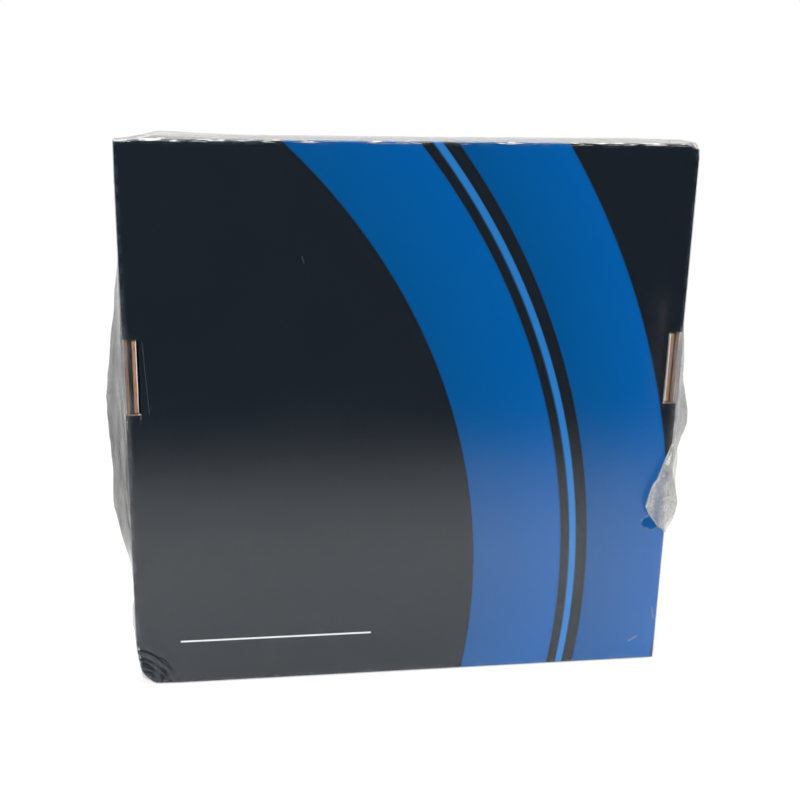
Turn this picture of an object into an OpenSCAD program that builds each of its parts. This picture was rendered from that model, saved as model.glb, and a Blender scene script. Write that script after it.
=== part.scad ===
// Square carton of printing doctor blade, standing on its edge and sealed in clear film.
// The carton is one die-cut blank of corrugated board, folded as a roll-end mailer with a tuck lid.
// +Z is up, the printed front panel faces -Y, and the origin is on the floor under the carton's middle.

/* [Carton] */
// Width of the closed carton, side wall to side wall
carton_w = 310; // [260:1:420]
// Depth of the closed carton, front panel to lid
carton_d = 52; // [46:1:80]
// Height of the closed carton as it stands
carton_h = 310; // [260:1:420]
// Thickness of the corrugated board
board_t = 2.2; // [1.8:0.1:3]
// Outside radius of a fold, which is pressed sharp inside
fold_out = 0.8; // [0.6:0.1:1.7]
// Play between two layers of board that lie on each other
layer_gap = 0.25; // [0.15:0.05:0.4]

/* [Side locks] */
// Length of the lock slot along each side fold
slot_l = 42; // [30:1:60]
// Height of the slot's middle above the carton's base
slot_z = 185; // [110:1:200]
// How far the slot is cut back into the side wall
slot_back = 4.5; // [4:0.5:10]
// Play between the lock tab and the slot, at its side and at each end
tab_play = 1.2; // [0.4:0.1:2]
// How far the tab's end stays behind the front panel's face
tab_recess = 0.4; // [0:0.1:1.5]

/* [Flaps] */
// Length of the dust flaps inside the double side walls
dust_l = 70; // [40:5:80]
// Length of the lid's tuck flap
tuck_l = 36; // [24:1:40]
// Corner radius of the tuck flap
tuck_r = 14; // [6:1:18]
// Play between the tuck flap and the double side wall, at each end
tuck_play = 3; // [1:0.5:8]
// How far each side edge of the lid stays inside the side wall's face
lid_inset = 0.5; // [0:0.1:1.5]

/* [Blade coil] */
// Thickness of the blade strip
blade_t = 0.15; // [0.1:0.05:0.3]
// Length of blade strip in the coil, in metres
blade_m = 100; // [30:5:120]
// Play between the coil and the double side walls, at each side
coil_play = 4; // [1:0.5:10]
// Play between the coil's end and the board in front of it or behind it
coil_end_play = 3.8; // [1:0.1:6]
// Gap between the coil and the bottom wall that it stands on
coil_seat = 0.3; // [0.2:0.05:0.5]
// Number of bands of turns that show as steps on the coil's ends
turn_bands = 9; // [4:1:14]
// Depth of the line between two bands of turns
turn_line_d = 0.4; // [0.2:0.1:1]
// Width of the line between two bands of turns
turn_line_w = 0.5; // [0.2:0.1:0.8]

/* [Film wrap] */
// Thickness of the film
film_t = 0.3; // [0.2:0.05:0.6]
// Play between the film and the board
film_gap = 0.2; // [0.15:0.05:0.4]
// How far the slack film stands off the left side
left_out = 12; // [6:0.5:16]
// How far the slack film stands off the right side
right_out = 12; // [6:0.5:16]
// From the carton's top to where the left film lifts off
left_top = 52; // [40:1:100]
// From the carton's top to where the right film lifts off
right_top = 95; // [40:1:100]
// From the carton's base to where the film lifts off
slack_bottom = 68; // [40:1:80]
// From the front panel and the lid to where the film lifts off
slack_inset = 6; // [5:0.5:9]

/* [Hidden] */
$fn = 64;

mm_per_m = 1000;
// How far a fold's section runs on into the panels that it joins
fold_leg = layer_gap;
// The double side wall: outer wall, dust flap and inner wall
wall_stack = 3 * board_t + 2 * layer_gap;
slot_w = wall_stack + tab_play;
// Where the rolled side walls end, under the lid
roll_y = carton_d - board_t - layer_gap;
// Top of the lid, under the top wall that its flap tucks behind
lid_top = carton_h - board_t - layer_gap;
end_x = carton_w / 2 - board_t - layer_gap;
tuck_w = carton_w - 2 * (wall_stack + tuck_play);
// Height of the carton's base above the floor
base_z = film_gap + film_t;
// The coil fills the room between the side walls, or the height if that is less
coil_room = min(carton_w - 2 * wall_stack, lid_top - 2 * board_t);
coil_od = coil_room - 2 * coil_play;
blade_w = carton_d - 2 * board_t - 2 * coil_end_play;
// The bore is what the strip's section leaves open
coil_bore = sqrt(coil_od * coil_od - 4 * blade_t * blade_m * mm_per_m / PI);
band_w = (coil_od - coil_bore) / 2 / turn_bands;

// Places a shape that is drawn with its front at y = 0 and its base at z = 0
module on_floor() {
  translate([0, -carton_d / 2, base_z]) children();
}

// Draws for the right side and again, mirrored, for the left
module both_sides() {
  children();
  mirror([1, 0, 0]) children();
}

// Stands a drawing of (y, z) up and extrudes it along X, centred
module along_x(w) {
  translate([-w / 2, 0, 0])
    rotate([90, 0, 90])
      linear_extrude(w) children();
}

// A board fold's section: its inside corner is at the origin, and it runs on into both panels
module fold_section() {
  round_at = board_t - fold_out;
  translate([-fold_leg, 0]) square([fold_leg + round_at, board_t]);
  translate([0, -fold_leg]) square([board_t, fold_leg + round_at]);
  translate([round_at, round_at]) circle(fold_out);
}

// The closed carton as a block grown by e on all sides, rounded where the blank is folded
module folded_block(e) {
  r = fold_out + e;
  intersection() {
    translate([0, 0, -e])
      linear_extrude(carton_h + 2 * e) {
        translate([-carton_w / 2 - e, fold_out]) square([carton_w + 2 * e, carton_d + e - fold_out]);
        translate([fold_out - carton_w / 2, -e]) square([carton_w - 2 * fold_out, r]);
        for (side = [-1, 1])
          translate([side * (carton_w / 2 - fold_out), fold_out]) circle(r);
      }
    along_x(carton_w + 2 * e) {
      translate([fold_out, fold_out]) square([carton_d + e - fold_out, carton_h + e - fold_out]);
      translate([-e, fold_out]) square([r, carton_h - 2 * fold_out]);
      translate([fold_out, -e]) square([carton_d - 2 * fold_out, r]);
      for (corner = [[fold_out, fold_out], [carton_d - fold_out, fold_out], [fold_out, carton_h - fold_out]])
        translate(corner) circle(r);
    }
  }
}

// Front panel with its four folds, which close the corners between them
module front_panel() {
  difference() {
    intersection() {
      folded_block(0);
      along_x(carton_w) square([board_t + fold_leg, carton_h]);
    }
    along_x(carton_w - 2 * board_t)
      translate([board_t, board_t]) square([carton_d, carton_h - 2 * board_t]);
  }
}

// Top and bottom walls, and the lid on the bottom wall with its tuck flap behind the top wall
module walls_and_lid() {
  along_x(2 * end_x) {
    translate([board_t, carton_h - board_t]) square([carton_d - board_t, board_t]);
    translate([board_t, 0]) square([carton_d - 2 * board_t, board_t]);
    translate([carton_d - board_t, board_t]) rotate(270) fold_section();
  }
  along_x(carton_w - 2 * lid_inset)
    translate([carton_d - board_t, board_t]) square([board_t, lid_top - 2 * board_t]);
  along_x(tuck_w)
    translate([carton_d - board_t, lid_top - board_t]) fold_section();
  translate([0, carton_d - board_t, lid_top - board_t])
    linear_extrude(board_t) tuck_outline();
}

// Tuck flap, drawn from its fold at y = 0 towards -y, with round corners
module tuck_outline() {
  reach = tuck_l - board_t;
  translate([-tuck_w / 2, tuck_r - reach]) square([tuck_w, reach - tuck_r]);
  translate([tuck_r - tuck_w / 2, -reach]) square([tuck_w - 2 * tuck_r, reach]);
  for (side = [-1, 1])
    translate([side * (tuck_w / 2 - tuck_r), tuck_r - reach]) circle(tuck_r);
}

// Right outer side wall
module outer_wall() {
  translate([carton_w / 2 - board_t, board_t, 0])
    cube([board_t, roll_y - 2 * board_t, carton_h]);
}

// Roll over the right outer wall, and the inner wall that comes back from it with its lock tab
module rolled_wall() {
  clear_z = board_t + layer_gap;
  translate([carton_w / 2, 0, clear_z])
    linear_extrude(carton_h - 2 * clear_z) {
      translate([-board_t, roll_y - board_t]) fold_section();
      translate([board_t - wall_stack, roll_y - board_t]) square([wall_stack - 2 * board_t, board_t]);
      translate([board_t - wall_stack, roll_y - board_t]) rotate(90) fold_section();
      translate([-wall_stack, clear_z]) square([board_t, roll_y - board_t - clear_z]);
    }
  tab_l = slot_l - 2 * tab_play;
  translate([carton_w / 2 - wall_stack, tab_recess, slot_z - tab_l / 2])
    cube([board_t, clear_z - tab_recess + board_t, tab_l]);
}

// Dust flaps of the top and bottom walls, between the right outer and inner walls
module dust_flaps() {
  clear_y = board_t + layer_gap;
  for (z = [0, carton_h - dust_l])
    translate([end_x - board_t, clear_y, z])
      cube([board_t, roll_y - 2 * clear_y, dust_l]);
}

// Slot across the right side fold, through the front panel and into the outer wall
module lock_slot() {
  past = board_t;
  translate([carton_w / 2 - slot_w, -past, slot_z - slot_l / 2])
    cube([slot_w + past, slot_back + past, slot_l]);
}

module carton() {
  color("#22272b") on_floor() {
    difference() {
      union() {
        front_panel();
        walls_and_lid();
        both_sides() outer_wall();
      }
      both_sides() lock_slot();
    }
    both_sides() {
      rolled_wall();
      dust_flaps();
    }
  }
}

// Blade strip wound flat: one ring, with a line cut on both ends between its bands of turns
module blade_coil() {
  edge = blade_w / 2;
  cut = edge - turn_line_d;
  inner_r = coil_bore / 2;
  one_end = [
    for (i = [0 : turn_bands - 1])
      let (r0 = inner_r + i * band_w, r1 = r0 + band_w)
        each i < turn_bands - 1
          ? [[r0, edge], [r1 - turn_line_w, edge], [r1 - turn_line_w, cut], [r1, cut]]
          : [[r0, edge], [r1, edge]]
  ];
  last = len(one_end) - 1;
  other_end = [for (i = [last : -1 : 0]) [one_end[i][0], -one_end[i][1]]];
  color("silver")
    on_floor()
      translate([0, carton_d / 2, board_t + coil_seat + coil_od / 2])
        rotate([90, 0, 0])
          rotate_extrude() polygon(concat(one_end, other_end));
}

// Radius of an arc that rises by out over a half span
function arc_r(half, out) = (half * half + out * out) / 2 / out;

// Slack film on the right side: a pillow where an arc up the wall crosses an arc over its depth
module film_slack(top, out, e) {
  half_l = (carton_h - top - slack_bottom) / 2;
  half_b = carton_d / 2 - slack_inset;
  r_up = arc_r(half_l, out);
  r_over = arc_r(half_b, out);
  wall_x = carton_w / 2 + film_gap;
  reach = out + 2 * film_t;
  intersection() {
    translate([carton_w / 2, 0, slack_bottom - film_gap])
      cube([reach, carton_d, 2 * (half_l + film_gap)]);
    translate([wall_x + out - r_up, 0, slack_bottom + half_l])
      rotate([-90, 0, 0]) cylinder(h = carton_d, r = r_up + e - film_gap, $fn = 256);
    translate([wall_x + out - r_over, carton_d / 2, 0])
      cylinder(h = carton_h, r = r_over + e - film_gap);
  }
}

// The film's block with the slack of both sides
module film_body(e) {
  folded_block(e);
  film_slack(right_top, right_out, e);
  mirror([1, 0, 0]) film_slack(left_top, left_out, e);
}

module film_wrap() {
  color([0.85, 0.88, 0.9, 0.35])
    on_floor()
      difference() {
        film_body(film_gap + film_t);
        film_body(film_gap);
      }
}

carton();
blade_coil();
film_wrap();
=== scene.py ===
import math

import bmesh
import bpy
import numpy as np
from mathutils import Matrix, Vector, noise


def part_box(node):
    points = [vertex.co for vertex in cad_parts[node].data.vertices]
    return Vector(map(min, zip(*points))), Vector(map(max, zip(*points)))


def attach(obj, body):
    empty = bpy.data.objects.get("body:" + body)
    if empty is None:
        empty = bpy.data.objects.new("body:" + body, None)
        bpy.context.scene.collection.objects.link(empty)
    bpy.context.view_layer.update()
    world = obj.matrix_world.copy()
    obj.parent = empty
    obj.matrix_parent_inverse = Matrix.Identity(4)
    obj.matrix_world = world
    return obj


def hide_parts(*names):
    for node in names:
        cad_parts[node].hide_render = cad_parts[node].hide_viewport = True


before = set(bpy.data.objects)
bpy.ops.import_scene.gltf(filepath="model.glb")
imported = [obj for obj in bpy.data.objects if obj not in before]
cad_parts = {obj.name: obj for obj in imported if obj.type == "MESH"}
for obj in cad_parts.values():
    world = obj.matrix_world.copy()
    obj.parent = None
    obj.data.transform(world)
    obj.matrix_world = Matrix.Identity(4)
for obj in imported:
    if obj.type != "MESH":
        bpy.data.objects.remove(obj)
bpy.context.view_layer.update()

mm = 0.001
scene = bpy.context.scene
scene.view_settings.view_transform = "Standard"

cartonLow, cartonHigh = (np.array(corner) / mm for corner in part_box("carton"))
cartonMid = (cartonLow + cartonHigh) / 2
cartonHalf = (cartonHigh - cartonLow) / 2


def linear(hexCode):  # sRGB hex to linear RGBA
    parts = [int(hexCode[i:i + 2], 16) / 255 for i in (1, 3, 5)]
    return [c / 12.92 if c <= 0.04045 else ((c + 0.055) / 1.055) ** 2.4 for c in parts] + [1.0]


def put(tree, kind, settings=None, links=None):  # adds a node, links gives its inputs values or sockets
    node = tree.nodes.new(kind)
    for key, value in (settings or {}).items():
        setattr(node, key, value)
    for key, value in (links or {}).items():
        if isinstance(value, bpy.types.NodeSocket):
            tree.links.new(value, node.inputs[key])
        else:
            node.inputs[key].default_value = value
    return node


def startMaterial(name):
    material = bpy.data.materials.new(name)
    material.use_nodes = True
    material.node_tree.nodes.clear()
    return material, material.node_tree


def rampStops(node, stops):  # colour ramp from (place, colour) pairs
    ramp = node.color_ramp
    while len(ramp.elements) < len(stops):
        ramp.elements.new(0.5)
    for element, (place, colour) in zip(ramp.elements, stops):
        element.position = place
        element.color = colour


def meshPiece(name, points, faces, materials):
    mesh = bpy.data.meshes.new(name)
    mesh.from_pydata([tuple(p) for p in points], [], faces)
    for material in materials:
        mesh.materials.append(material)
    piece = bpy.data.objects.new(name, mesh)
    scene.collection.objects.link(piece)
    return piece


# Camera: fitted to the four corners of the front panel
viewPoint = {
    "place": (-0.1010, -0.6539, 0.3673),
    "aim": (-0.0058, -0.026, 0.1699),
    "roll": 1.32,  # degrees
    "lens": 53.96,
    "nearest": 0.01,  # m, clip start
}
camera = bpy.data.objects.new("camera", bpy.data.cameras.new("camera"))
camera.data.lens = viewPoint["lens"]
camera.data.clip_start = viewPoint["nearest"]
look = Vector(viewPoint["aim"]) - Vector(viewPoint["place"])
camera.matrix_world = (
    Matrix.Translation(viewPoint["place"])
    @ look.to_track_quat("-Z", "Y").to_matrix().to_4x4()
    @ Matrix.Rotation(math.radians(viewPoint["roll"]), 4, "Z")
)
scene.collection.objects.link(camera)
scene.camera = camera

# Studio: white backdrop behind the carton, dim room behind the camera, white table that ends in front of it
studio = {
    "backdrop": "#ffffff",
    "backdropTurn": (-0.05, 0.35),  # y of a direction where the room gives way to the backdrop
    "roomLow": "#101112",
    "roomHigh": "#b9babb",
    "roomRise": (-0.05, 0.5),  # z of a direction from the low tone to the high one
    "table": ("#f0f0ef", "#f3f3f2"),
    "tableGrain": 60.0,  # per metre
    "tableGlow": 0.55,  # share of plain white that the camera sees
    "tableFront": (-0.52, -0.15),  # where the table top fades out in front
    "tableRound": (0.75, 1.3),  # and all round
    "lamps": (  # name, place, aim, size, watts
        ("keyLamp", (-0.8, -1.7, 1.3), (0, 0, 0.16), 1.4, 66),
        ("topLamp", (0.2, 0.5, 1.9), (0, 0, 0.1), 1.6, 20),
        ("sideLamp", (1.5, -0.5, 0.9), (0, 0, 0.16), 1.0, 10),
    ),
}


def buildWorld():
    world = bpy.data.worlds.new("studio")
    world.use_nodes = True
    tree = world.node_tree
    tree.nodes.clear()
    way = put(tree, "ShaderNodeTexCoord").outputs["Generated"]
    axes = put(tree, "ShaderNodeSeparateXYZ", links={0: way})
    start, end = studio["roomRise"]
    up = put(tree, "ShaderNodeMapRange", links={0: axes.outputs["Z"], 1: start, 2: end}).outputs[0]
    room = put(tree, "ShaderNodeMix", {"data_type": "RGBA"},
               {0: up, 6: linear(studio["roomLow"]), 7: linear(studio["roomHigh"])}).outputs[2]
    start, end = studio["backdropTurn"]
    behind = put(tree, "ShaderNodeMapRange", links={0: axes.outputs["Y"], 1: start, 2: end}).outputs[0]
    path = put(tree, "ShaderNodeLightPath")
    mirrored = put(tree, "ShaderNodeMath", {"operation": "MAXIMUM"},
                   {0: path.outputs["Is Glossy Ray"], 1: path.outputs["Is Transmission Ray"]}).outputs[0]
    shown = put(tree, "ShaderNodeMath", {"operation": "MULTIPLY"}, {0: mirrored, 1: behind}).outputs[0]
    white = put(tree, "ShaderNodeMath", {"operation": "MAXIMUM"},
                {0: path.outputs["Is Camera Ray"], 1: shown}).outputs[0]
    colour = put(tree, "ShaderNodeMix", {"data_type": "RGBA"},
                 {0: white, 6: room, 7: linear(studio["backdrop"])}).outputs[2]
    sky = put(tree, "ShaderNodeBackground", links={"Color": colour, "Strength": 1.0})
    put(tree, "ShaderNodeOutputWorld", links={"Surface": sky.outputs[0]})
    scene.world = world


def buildTable():
    material, tree = startMaterial("white laminate table top")  # even and matt, fades into the backdrop
    coords = put(tree, "ShaderNodeTexCoord").outputs["Object"]
    grain = put(tree, "ShaderNodeTexNoise",
                links={"Vector": coords, "Scale": studio["tableGrain"], "Detail": 3.0}).outputs[0]
    tint = put(tree, "ShaderNodeValToRGB", links={0: grain})
    dark, light = studio["table"]
    rampStops(tint, [(0.3, linear(dark)), (0.7, linear(light))])
    matt = put(tree, "ShaderNodeBsdfDiffuse", links={"Color": tint.outputs[0]})
    glow = put(tree, "ShaderNodeEmission", links={"Color": linear(studio["backdrop"]), "Strength": 1.0})
    path = put(tree, "ShaderNodeLightPath")
    lit = put(tree, "ShaderNodeMath", {"operation": "MULTIPLY"},
              {0: path.outputs["Is Camera Ray"], 1: studio["tableGlow"]}).outputs[0]
    top = put(tree, "ShaderNodeMixShader",
              links={0: lit, 1: matt.outputs[0], 2: glow.outputs[0]}).outputs[0]
    axes = put(tree, "ShaderNodeSeparateXYZ", links={0: coords})
    near, far = studio["tableFront"]
    front = put(tree, "ShaderNodeMapRange", {"interpolation_type": "SMOOTHSTEP"},
                {0: axes.outputs["Y"], 1: near, 2: far}).outputs[0]
    span = put(tree, "ShaderNodeVectorMath", {"operation": "LENGTH"}, {0: coords}).outputs["Value"]
    inner, outer = studio["tableRound"]
    around = put(tree, "ShaderNodeMapRange", {"interpolation_type": "SMOOTHSTEP"},
                 {0: span, 1: inner, 2: outer, 3: 1.0, 4: 0.0}).outputs[0]
    solid = put(tree, "ShaderNodeMath", {"operation": "MULTIPLY"}, {0: front, 1: around}).outputs[0]
    gone = put(tree, "ShaderNodeBsdfTransparent")
    faded = put(tree, "ShaderNodeMixShader", links={0: solid, 1: gone.outputs[0], 2: top})
    put(tree, "ShaderNodeOutputMaterial", links={"Surface": faded.outputs[0]})
    corners = [(-outer, -outer, 0), (outer, -outer, 0), (outer, outer, 0), (-outer, outer, 0)]
    table = meshPiece("table", corners, [(0, 1, 2, 3)], [material])


def buildLamps():
    for name, place, aim, size, watts in studio["lamps"]:
        lamp = bpy.data.lights.new(name, "AREA")
        lamp.size = size
        lamp.energy = watts
        holder = bpy.data.objects.new(name, lamp)
        way = Vector(aim) - Vector(place)
        holder.matrix_world = Matrix.Translation(place) @ way.to_track_quat("-Z", "Y").to_matrix().to_4x4()
        scene.collection.objects.link(holder)


buildWorld()
buildTable()
buildLamps()
print("studio: backdrop, table and", len(studio["lamps"]), "lamps")

# Carton: the folded blank from the frame, cut finer so that its corners can be knocked in
carton = {
    "cut": 15.0,  # mm between cuts over the panels
    "cornerCut": 2.0,  # and near the knocked corners
    "creaseCut": 0.9,  # and where a corner is creased
    "outsideDepth": 0.1,  # faces this near the outside carry the print
    "foldRadius": 0.8,
    "smoothAngle": 32.0,  # degrees, sharper edges stay sharp
    "board": 2.2,
    "flutePitch": 6.5,
    "layerGap": 0.25,
    "wallStack": 7.1,  # the double side wall with the flap in it
    "linerDepth": 0.35,  # the white-coated liner's thickness
    "slot": (164.5, 206.5),  # heights of the lock slots' ends
}

# Print on the carton: dark ground with nested arc bands and one pale rule
artwork = {
    "ground": "#171d24",
    "groundWorn": "#5b6470",
    "centre": (-300.0, 60.0),  # mm, the arcs' shared centre in x and z
    "bands": (  # inner radius, outer radius, colours from inside to outside
        (340.0, 392.0, "#034a83", "#025295"),
        (397.5, 401.5, "#266eb0", "#266eb0"),
        (408.0, 457.0, "#034a83", "#035499"),
    ),
    "bandMargin": 20.0,  # mm of ground on both sides of the bands
    "sharpness": 0.3,  # mm, how sharp the edges of the print are
    "rule": ((-130.0, -20.0), (26.6, 27.6)),  # mm, x and z
    "ruleDepth": 2.0,
    "ruleInk": "#d8dadc",
    "frontDepth": 3.0,  # mm from the front's face that take its marks
    "backDepth": 5.0,  # mm from the back's face that are plain
    "rubAndSheenTint": "#77818d",
    "markEdge": (0.1, 0.7),  # shares of a mark's width between which it fades
    "marks": (  # rubbed lines on the front, the first a painted reflection of a crease in the film: from, to (x, z), width in mm, strength
        # painted reflection of a film crease beside the left lock slot
        ((-144.6, 205.0), (-142.4, 164.5), 0.5, 0.16),
        ((138.5, 12.6), (143.6, 15.6), 0.9, 0.8),
        ((151.6, 34.5), (153.2, 27.0), 0.7, 0.6),
        ((-60.0, 250.5), (-58.8, 246.8), 0.4, 0.3),
    ),
}

# Tear in the film, beside the foot of the fold that lies over the front's right edge
tear = {
    "centre": (146.0, 90.5),  # mm, x and z
    "halves": (6.0, 4.0),
    "ragged": 1.7,
    "rim": 1.1,
}


def tearSpan(tree, place):  # distance from the tear's middle in shares of its size, made ragged
    tearX, tearZ = tear["centre"]
    halfX, halfZ = tear["halves"]
    fromTear = put(tree, "ShaderNodeVectorMath", {"operation": "SUBTRACT"},
                   {0: place, 1: (tearX, 0, tearZ)}).outputs[0]
    shares = put(tree, "ShaderNodeVectorMath", {"operation": "MULTIPLY"},
                 {0: fromTear, 1: (1 / halfX, 0, 1 / halfZ)}).outputs[0]
    span = put(tree, "ShaderNodeVectorMath", {"operation": "LENGTH"}, {0: shares}).outputs["Value"]
    jag = put(tree, "ShaderNodeTexNoise", links={"Vector": shares, "Scale": 2.2, "Detail": 3.0}).outputs[0]
    jag = put(tree, "ShaderNodeMath", {"operation": "MULTIPLY_ADD"},
              {0: jag, 1: tear["ragged"], 2: -tear["ragged"] / 2}).outputs[0]
    return put(tree, "ShaderNodeMath", {"operation": "ADD"}, {0: span, 1: jag}).outputs[0]


def awayFromMiddle(tree, place):  # mm from the carton's middle, along x, y and z
    fromMid = put(tree, "ShaderNodeVectorMath", {"operation": "SUBTRACT"},
                  {0: place, 1: tuple(cartonMid)}).outputs[0]
    return put(tree, "ShaderNodeVectorMath", {"operation": "ABSOLUTE"}, {0: fromMid}).outputs[0]


boardFinish = {
    "wearReach": (2.6, 0.6),  # mm from an edge where wear starts and where it is full
    "wearGrain": 9.0,  # mm
    "wearRange": (0.42, 0.75, 0.45),  # of the grain where wear starts and is full, and its strength
    "varnishFlow": 2.5,  # mm
    "smear": 40.0,  # mm
    "bump": (0.12, 0.02),  # strength, height in mm
    "roughness": (0.12, 0.17),
    "ior": 1.53,
    "sheen": (0.68, 0.04),  # of board and film together, and of the bare board in the tear
    "bareDull": 0.3,  # roughness added there
    "tearShadow": 0.35,  # and painted shadow of the torn film's raised edges, as darker ink
}


def buildPrintedBoard():
    # Offset-printed, gloss-varnished liner on corrugated board: deep colour under a clear sheen, pale wear
    # on the folds
    material, tree = startMaterial("offset-printed varnished board")
    coords = put(tree, "ShaderNodeTexCoord").outputs["Object"]
    place = put(tree, "ShaderNodeVectorMath", {"operation": "SCALE"},
                {0: coords, "Scale": 1 / mm}).outputs[0]
    flat = put(tree, "ShaderNodeVectorMath", {"operation": "MULTIPLY"}, {0: place, 1: (1, 0, 1)}).outputs[0]
    axes = put(tree, "ShaderNodeSeparateXYZ", links={0: place})
    centreX, centreZ = artwork["centre"]
    radius = put(tree, "ShaderNodeVectorMath", {"operation": "DISTANCE"},
                 {0: flat, 1: (centreX, 0, centreZ)}).outputs["Value"]
    low = artwork["bands"][0][0] - artwork["bandMargin"]
    high = artwork["bands"][-1][1] + artwork["bandMargin"]
    across = put(tree, "ShaderNodeMapRange", links={0: radius, 1: low, 2: high}).outputs[0]
    ground = linear(artwork["ground"])
    edge = artwork["sharpness"] / (high - low)
    stops = []
    for inner, outer, inside, outside in artwork["bands"]:
        start, end = (inner - low) / (high - low), (outer - low) / (high - low)
        stops += [(start - edge, ground), (start, linear(inside))]
        stops += [(end - edge, linear(outside)), (end, ground)]
    bands = put(tree, "ShaderNodeValToRGB", links={0: across})
    rampStops(bands, stops)
    back = put(tree, "ShaderNodeMath", {"operation": "GREATER_THAN"},
               {0: axes.outputs["Y"], 1: cartonHigh[1] - artwork["backDepth"]}).outputs[0]
    ink = put(tree, "ShaderNodeMix", {"data_type": "RGBA"},
              {0: back, 6: bands.outputs[0], 7: ground}).outputs[2]

    (ruleLeft, ruleRight), (ruleLow, ruleHigh) = artwork["rule"]
    middle = ((ruleLeft + ruleRight) / 2, cartonLow[1], (ruleLow + ruleHigh) / 2)
    halves = ((ruleRight - ruleLeft) / 2, artwork["ruleDepth"], (ruleHigh - ruleLow) / 2)
    fromRule = put(tree, "ShaderNodeVectorMath", {"operation": "SUBTRACT"},
                   {0: place, 1: middle}).outputs[0]
    awayRule = put(tree, "ShaderNodeVectorMath", {"operation": "ABSOLUTE"}, {0: fromRule}).outputs[0]
    insideRule = put(tree, "ShaderNodeVectorMath", {"operation": "SUBTRACT"},
                     {0: halves, 1: awayRule}).outputs[0]
    ruleAxes = put(tree, "ShaderNodeSeparateXYZ", links={0: insideRule})
    least = put(tree, "ShaderNodeMath", {"operation": "MINIMUM"},
                {0: ruleAxes.outputs["X"], 1: ruleAxes.outputs["Z"]}).outputs[0]
    least = put(tree, "ShaderNodeMath", {"operation": "MINIMUM"},
                {0: least, 1: ruleAxes.outputs["Y"]}).outputs[0]
    onRule = put(tree, "ShaderNodeMath", {"operation": "GREATER_THAN"}, {0: least, 1: 0.0}).outputs[0]
    ink = put(tree, "ShaderNodeMix", {"data_type": "RGBA"},
              {0: onRule, 6: ink, 7: linear(artwork["ruleInk"])}).outputs[2]

    onFront = put(tree, "ShaderNodeMath", {"operation": "LESS_THAN"},
                  {0: axes.outputs["Y"], 1: cartonLow[1] + artwork["frontDepth"]}).outputs[0]
    full, faded = artwork["markEdge"]
    # Rubbed lines, and one painted reflection, in a pale tint over the print
    for start, end, width, strength in artwork["marks"]:
        way = Vector((end[0] - start[0], 0, end[1] - start[1]))
        local = put(tree, "ShaderNodeVectorMath", {"operation": "SUBTRACT"},
                    {0: flat, 1: (start[0], 0, start[1])}).outputs[0]
        along = put(tree, "ShaderNodeVectorMath", {"operation": "DOT_PRODUCT"},
                    {0: local, 1: way / way.length_squared}).outputs["Value"]
        along = put(tree, "ShaderNodeClamp", links={0: along}).outputs[0]
        foot = put(tree, "ShaderNodeVectorMath", {"operation": "SCALE"},
                   {0: way, "Scale": along}).outputs[0]
        gap = put(tree, "ShaderNodeVectorMath", {"operation": "DISTANCE"},
                  {0: local, 1: foot}).outputs["Value"]
        rubAndSheen = put(tree, "ShaderNodeMapRange",
                       links={0: gap, 1: full * width, 2: faded * width, 3: strength, 4: 0.0}).outputs[0]
        marked = put(tree, "ShaderNodeMath", {"operation": "MULTIPLY"},
                     {0: rubAndSheen, 1: onFront}).outputs[0]
        ink = put(tree, "ShaderNodeMix", {"data_type": "RGBA"},
                  {0: marked, 6: ink, 7: linear(artwork["rubAndSheenTint"])}).outputs[2]

    # Wear by the distance in mm from the box's nearest edge, the middle one of the distances from its faces
    past = put(tree, "ShaderNodeVectorMath", {"operation": "SUBTRACT"},
               {0: awayFromMiddle(tree, place), 1: tuple(cartonHalf)}).outputs[0]
    pastAxes = put(tree, "ShaderNodeSeparateXYZ", links={0: past})
    lower = put(tree, "ShaderNodeMath", {"operation": "MINIMUM"},
                {0: pastAxes.outputs["X"], 1: pastAxes.outputs["Y"]}).outputs[0]
    upper = put(tree, "ShaderNodeMath", {"operation": "MAXIMUM"},
                {0: pastAxes.outputs["X"], 1: pastAxes.outputs["Y"]}).outputs[0]
    upper = put(tree, "ShaderNodeMath", {"operation": "MINIMUM"},
                {0: upper, 1: pastAxes.outputs["Z"]}).outputs[0]
    toEdge = put(tree, "ShaderNodeMath", {"operation": "MAXIMUM"}, {0: lower, 1: upper}).outputs[0]
    far, near = boardFinish["wearReach"]
    nearEdge = put(tree, "ShaderNodeMapRange", links={0: toEdge, 1: -far, 2: -near}).outputs[0]
    rub = put(tree, "ShaderNodeTexNoise", links={
        "Vector": place, "Scale": 1 / boardFinish["wearGrain"], "Detail": 5.0, "Roughness": 0.7}).outputs[0]
    start, end, most = boardFinish["wearRange"]
    rubbed = put(tree, "ShaderNodeMapRange", links={0: rub, 1: start, 2: end, 3: 0.0, 4: most}).outputs[0]
    wear = put(tree, "ShaderNodeMath", {"operation": "MULTIPLY"}, {0: nearEdge, 1: rubbed}).outputs[0]
    ink = put(tree, "ShaderNodeMix", {"data_type": "RGBA"},
              {0: wear, 6: ink, 7: linear(artwork["groundWorn"])}).outputs[2]

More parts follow.
